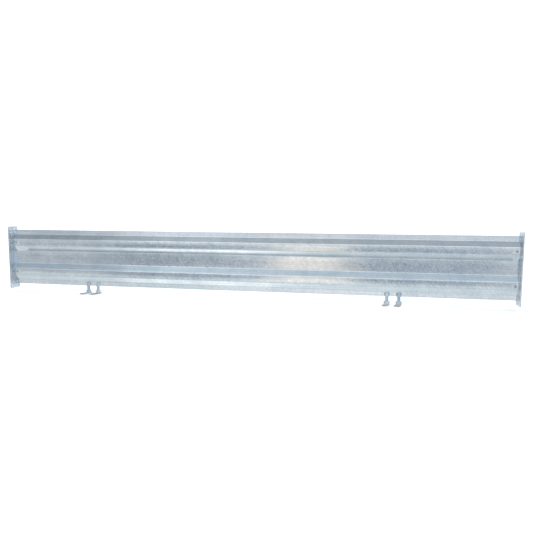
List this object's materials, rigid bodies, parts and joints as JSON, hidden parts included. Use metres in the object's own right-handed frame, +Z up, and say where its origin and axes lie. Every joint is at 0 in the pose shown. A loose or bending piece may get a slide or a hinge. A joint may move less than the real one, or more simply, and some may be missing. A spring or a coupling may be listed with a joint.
{
  "type": "livestock panel gate",
  "caption": "Long galvanised steel boarding panel with a W-shaped rolled sheet, drilled end plates and paired screw feet, for dividing animal pens.",
  "frame": {"origin": "on the ground, under the centre of the bounding box", "axes": "+X along the panel, +Y to the open rear side, +Z up; the smooth animal side faces -Y"},
  "size_m": [5, 0.142, 0.687],
  "materials": {
    "galvanised_sheet": "hot-dip galvanised, bright, with zinc spangle",
    "galvanised_plate": "hot-dip galvanised flat bar",
    "galvanised_foot": "hot-dip galvanised, dull",
    "zinc_fastener": "galvanised fasteners"
  },
  "bodies": {
    "panel": {"face_sheet": "galvanised_sheet", "end_plate_left": "galvanised_plate", "end_plate_right": "galvanised_plate", "cleat_left_lower": "galvanised_plate", "bolt_left_lower": "zinc_fastener", "washer_left_lower": "zinc_fastener", "nut_left_lower": "zinc_fastener", "cleat_left_upper": "galvanised_plate", "bolt_left_upper": "zinc_fastener", "washer_left_upper": "zinc_fastener", "nut_left_upper": "zinc_fastener", "cleat_right_lower": "galvanised_plate", "bolt_right_lower": "zinc_fastener", "washer_right_lower": "zinc_fastener", "nut_right_lower": "zinc_fastener", "cleat_right_upper": "galvanised_plate", "bolt_right_upper": "zinc_fastener", "washer_right_upper": "zinc_fastener", "nut_right_upper": "zinc_fastener", "foot_sleeve_left_outer": "galvanised_foot", "foot_sleeve_left_inner": "galvanised_foot", "foot_sleeve_right_inner": "galvanised_foot", "foot_sleeve_right_outer": "galvanised_foot"},
    "pad_left_outer": {"foot_pad_left_outer": "galvanised_foot"},
    "spindle_left_outer": {"foot_spindle_left_outer": "galvanised_foot"},
    "pad_left_inner": {"foot_pad_left_inner": "galvanised_foot"},
    "spindle_left_inner": {"foot_spindle_left_inner": "galvanised_foot"},
    "pad_right_inner": {"foot_pad_right_inner": "galvanised_foot"},
    "spindle_right_inner": {"foot_spindle_right_inner": "galvanised_foot"},
    "pad_right_outer": {"foot_pad_right_outer": "galvanised_foot"},
    "spindle_right_outer": {"foot_spindle_right_outer": "galvanised_foot"}
  },
  "joints": [
    {"name": "foot_travel_left_outer", "type": "slide", "parent": "panel", "child": "pad_left_outer", "axis": [0, 0, -1], "range_m": [-0.015, 0.012]},
    {"name": "spindle_turn_left_outer", "type": "hinge", "parent": "pad_left_outer", "child": "spindle_left_outer", "pos_m": [-1.66, 0.0392, 0], "axis": [0, 0, -1], "range_deg": [-1542.8, 1234.2]},
    {"name": "foot_travel_left_inner", "type": "slide", "parent": "panel", "child": "pad_left_inner", "axis": [0, 0, -1], "range_m": [-0.015, 0.012]},
    {"name": "spindle_turn_left_inner", "type": "hinge", "parent": "pad_left_inner", "child": "spindle_left_inner", "pos_m": [-1.552, 0.0392, 0], "axis": [0, 0, -1], "range_deg": [-1542.8, 1234.2]},
    {"name": "foot_travel_right_inner", "type": "slide", "parent": "panel", "child": "pad_right_inner", "axis": [0, 0, -1], "range_m": [-0.015, 0.012]},
    {"name": "spindle_turn_right_inner", "type": "hinge", "parent": "pad_right_inner", "child": "spindle_right_inner", "pos_m": [1.37, 0.0392, 0], "axis": [0, 0, -1], "range_deg": [-1542.8, 1234.2]},
    {"name": "foot_travel_right_outer", "type": "slide", "parent": "panel", "child": "pad_right_outer", "axis": [0, 0, -1], "range_m": [-0.015, 0.012]},
    {"name": "spindle_turn_right_outer", "type": "hinge", "parent": "pad_right_outer", "child": "spindle_right_outer", "pos_m": [1.478, 0.0392, 0], "axis": [0, 0, -1], "range_deg": [-1542.8, 1234.2]}
  ],
  "couplings": [
    {"joint": "foot_travel_left_outer", "follows": "spindle_turn_left_outer", "m_per_rad": 0.00055704},
    {"joint": "foot_travel_left_inner", "follows": "spindle_turn_left_inner", "m_per_rad": 0.00055704},
    {"joint": "foot_travel_right_inner", "follows": "spindle_turn_right_inner", "m_per_rad": 0.00055704},
    {"joint": "foot_travel_right_outer", "follows": "spindle_turn_right_outer", "m_per_rad": 0.00055704}
  ]
}
